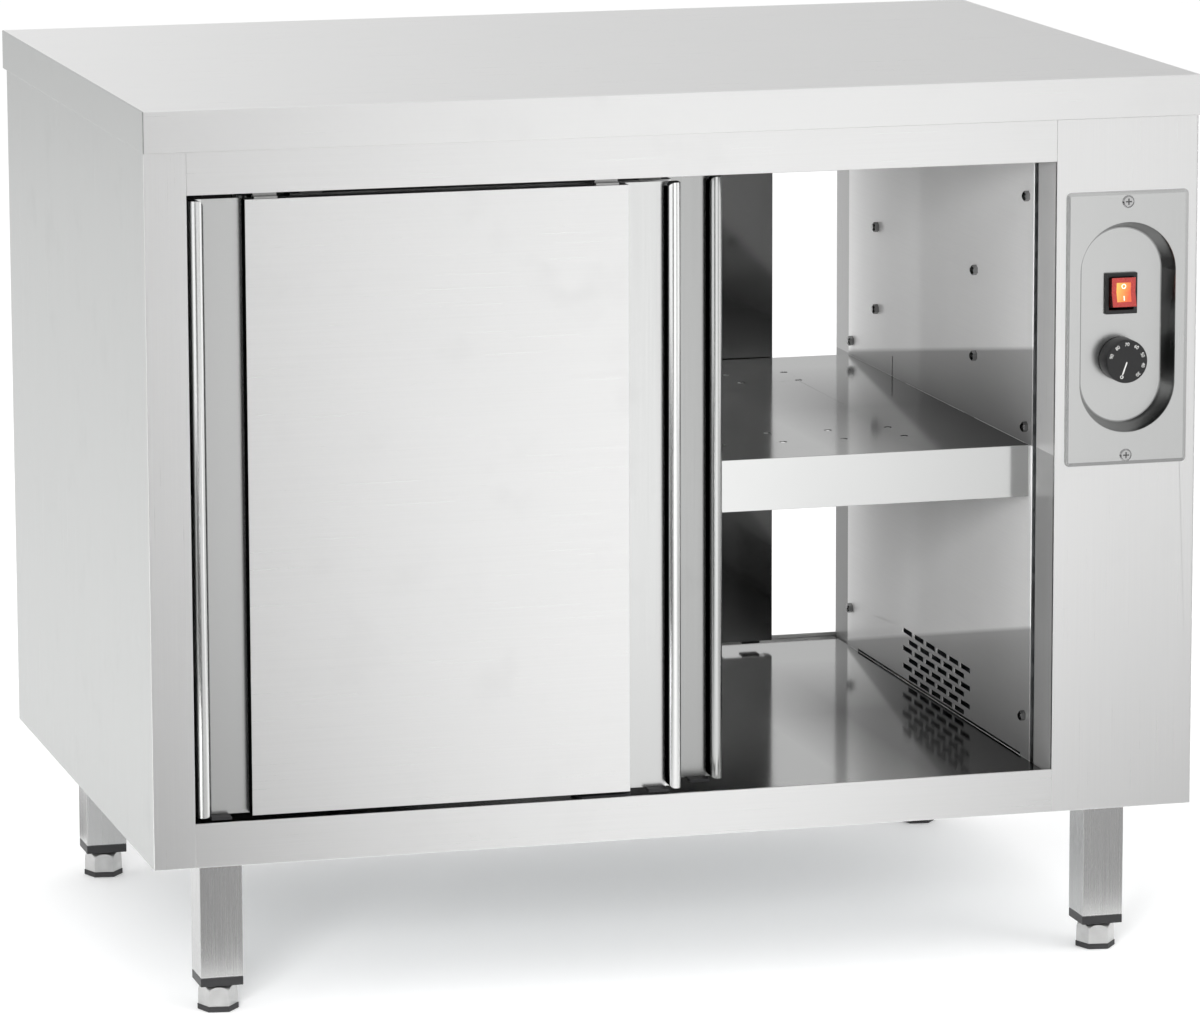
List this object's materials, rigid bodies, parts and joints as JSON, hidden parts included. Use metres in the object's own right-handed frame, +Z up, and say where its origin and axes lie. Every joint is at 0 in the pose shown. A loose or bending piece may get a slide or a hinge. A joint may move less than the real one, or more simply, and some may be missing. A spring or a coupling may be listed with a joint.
{
  "type": "plate warmer cabinet",
  "caption": "Free-standing stainless plate warmer cabinet with sliding doors on both long sides, a perforated shelf, a warm-air column with knob and switch, and levelling feet.",
  "frame": {"origin": "on the floor below the middle of the worktop", "axes": "+X to the right seen from the front, +Y to the back, +Z up"},
  "size_m": [1, 0.7, 0.842],
  "materials": {
    "worktop_steel": "fine brushed grain, satin",
    "panel_steel": "fine brushed grain, satin",
    "inner_steel": "bright rolled, lightly scratched",
    "hidden_steel": "galvanised",
    "core_board": "bare chipboard",
    "fastener_steel": "polished",
    "foot_steel": "cast, satin",
    "black_plastic": "moulded",
    "knob_plastic": "moulded",
    "rocker_plastic": "translucent red",
    "nylon": "turned",
    "heater_steel": "heat blued",
    "copper": "drawn",
    "motor_paint": "semi-matt",
    "device_plastic": "moulded"
  },
  "bodies": {
    "cabinet": {"worktop": "worktop_steel", "worktop_core": "core_board", "worktop_stiffeners": "hidden_steel", "side_left": "panel_steel", "liner_left": "inner_steel", "side_right": "panel_steel", "column_front": "panel_steel", "column_rear": "panel_steel", "column_uprights": "hidden_steel", "liner_right": "inner_steel", "wall_bolts": "fastener_steel", "top_rails": "panel_steel", "bottom_rails": "panel_steel", "cabinet_floor": "inner_steel", "floor_bearers": "hidden_steel", "bottom_pan": "hidden_steel", "ceiling_panel": "inner_steel", "door_tracks": "hidden_steel", "door_guides": "black_plastic", "shelf": "inner_steel", "control_plate": "panel_steel", "plate_screws": "fastener_steel", "switch_housing": "black_plastic", "thermostat_body": "device_plastic", "thermostat_sensor": "copper", "air_duct": "hidden_steel", "fan_motor": "motor_paint", "heating_element": "heater_steel", "terminal_block": "device_plastic", "cable_gland": "black_plastic", "legs": "panel_steel", "leg_inserts": "black_plastic"},
    "knob": {"knob": "knob_plastic", "thermostat_shaft": "fastener_steel"},
    "switch_rocker": {"switch_rocker": "rocker_plastic"},
    "fan_rotor": {"fan_rotor": "hidden_steel"},
    "foot_front_left": {"foot_front_left": "foot_steel"},
    "foot_front_right": {"foot_front_right": "foot_steel"},
    "foot_rear_left": {"foot_rear_left": "foot_steel"},
    "foot_rear_right": {"foot_rear_right": "foot_steel"},
    "front_outer_door": {"front_outer_back": "panel_steel", "front_outer_panel": "panel_steel", "front_outer_hangers": "fastener_steel"},
    "front_outer_roller_left": {"front_outer_roller_left": "nylon"},
    "front_outer_roller_right": {"front_outer_roller_right": "nylon"},
    "front_inner_door": {"front_inner_back": "panel_steel", "front_inner_panel": "panel_steel", "front_inner_hangers": "fastener_steel"},
    "front_inner_roller_left": {"front_inner_roller_left": "nylon"},
    "front_inner_roller_right": {"front_inner_roller_right": "nylon"},
    "rear_inner_door": {"rear_inner_back": "panel_steel", "rear_inner_panel": "panel_steel", "rear_inner_hangers": "fastener_steel"},
    "rear_inner_roller_left": {"rear_inner_roller_left": "nylon"},
    "rear_inner_roller_right": {"rear_inner_roller_right": "nylon"},
    "rear_outer_door": {"rear_outer_back": "panel_steel", "rear_outer_panel": "panel_steel", "rear_outer_hangers": "fastener_steel"},
    "rear_outer_roller_left": {"rear_outer_roller_left": "nylon"},
    "rear_outer_roller_right": {"rear_outer_roller_right": "nylon"}
  },
  "joints": [
    {"name": "front_outer_slide", "type": "slide", "parent": "cabinet", "child": "front_outer_door", "axis": [1, 0, 0], "range_m": [0, 0.3569]},
    {"name": "front_outer_roll_left", "type": "hinge", "parent": "front_outer_door", "child": "front_outer_roller_left", "pos_m": [-0.3873, -0.3414, 0.7793], "axis": [0, 1, 0], "range_deg": [-5, 2049]},
    {"name": "front_outer_roll_right", "type": "hinge", "parent": "front_outer_door", "child": "front_outer_roller_right", "pos_m": [-0.0698, -0.3414, 0.7793], "axis": [0, 1, 0], "range_deg": [-5, 2049]},
    {"name": "front_inner_slide", "type": "slide", "parent": "cabinet", "child": "front_inner_door", "axis": [1, 0, 0], "range_m": [-0.048, 0.3089]},
    {"name": "front_inner_roll_left", "type": "hinge", "parent": "front_inner_door", "child": "front_inner_roller_left", "pos_m": [-0.3393, -0.3124, 0.7793], "axis": [0, 1, 0], "range_deg": [-280, 1774]},
    {"name": "front_inner_roll_right", "type": "hinge", "parent": "front_inner_door", "child": "front_inner_roller_right", "pos_m": [-0.0218, -0.3124, 0.7793], "axis": [0, 1, 0], "range_deg": [-280, 1774]},
    {"name": "rear_inner_slide", "type": "slide", "parent": "cabinet", "child": "rear_inner_door", "axis": [1, 0, 0], "range_m": [-0.2775, 0.0794]},
    {"name": "rear_inner_roll_left", "type": "hinge", "parent": "rear_inner_door", "child": "rear_inner_roller_left", "pos_m": [-0.1098, 0.2994, 0.7793], "axis": [0, 1, 0], "range_deg": [-1594, 459]},
    {"name": "rear_inner_roll_right", "type": "hinge", "parent": "rear_inner_door", "child": "rear_inner_roller_right", "pos_m": [0.2077, 0.2994, 0.7793], "axis": [0, 1, 0], "range_deg": [-1594, 459]},
    {"name": "rear_outer_slide", "type": "slide", "parent": "cabinet", "child": "rear_outer_door", "axis": [1, 0, 0], "range_m": [0, 0.3569]},
    {"name": "rear_outer_roll_left", "type": "hinge", "parent": "rear_outer_door", "child": "rear_outer_roller_left", "pos_m": [-0.3873, 0.3284, 0.7793], "axis": [0, 1, 0], "range_deg": [-5, 2049]},
    {"name": "rear_outer_roll_right", "type": "hinge", "parent": "rear_outer_door", "child": "rear_outer_roller_right", "pos_m": [-0.0698, 0.3284, 0.7793], "axis": [0, 1, 0], "range_deg": [-5, 2049]},
    {"name": "knob_turn", "type": "hinge", "parent": "cabinet", "child": "knob", "pos_m": [0.4302, -0.34, 0.5752], "axis": [0, 1, 0], "range_deg": [0, 270]},
    {"name": "rocker_tilt", "type": "hinge", "parent": "cabinet", "child": "switch_rocker", "pos_m": [0.4303, -0.322, 0.637], "axis": [1, 0, 0], "range_deg": [0, 14]},
    {"name": "fan_spin", "type": "hinge", "parent": "cabinet", "child": "fan_rotor", "pos_m": [0.4, 0.033, 0.59], "axis": [1, 0, 0], "continuous": true},
    {"name": "foot_front_left_screw", "type": "slide", "parent": "cabinet", "child": "foot_front_left", "axis": [0, 0, 1], "range_m": [-0.045, 0]},
    {"name": "foot_front_right_screw", "type": "slide", "parent": "cabinet", "child": "foot_front_right", "axis": [0, 0, 1], "range_m": [-0.045, 0]},
    {"name": "foot_rear_left_screw", "type": "slide", "parent": "cabinet", "child": "foot_rear_left", "axis": [0, 0, 1], "range_m": [-0.045, 0]},
    {"name": "foot_rear_right_screw", "type": "slide", "parent": "cabinet", "child": "foot_rear_right", "axis": [0, 0, 1], "range_m": [-0.045, 0]}
  ],
  "couplings": [
    {"joint": "front_outer_roll_left", "follows": "front_outer_slide", "rad_per_m": 100},
    {"joint": "front_outer_roll_right", "follows": "front_outer_slide", "rad_per_m": 100},
    {"joint": "front_inner_roll_left", "follows": "front_inner_slide", "rad_per_m": 100},
    {"joint": "front_inner_roll_right", "follows": "front_inner_slide", "rad_per_m": 100},
    {"joint": "rear_inner_roll_left", "follows": "rear_inner_slide", "rad_per_m": 100},
    {"joint": "rear_inner_roll_right", "follows": "rear_inner_slide", "rad_per_m": 100},
    {"joint": "rear_outer_roll_left", "follows": "rear_outer_slide", "rad_per_m": 100},
    {"joint": "rear_outer_roll_right", "follows": "rear_outer_slide", "rad_per_m": 100}
  ]
}
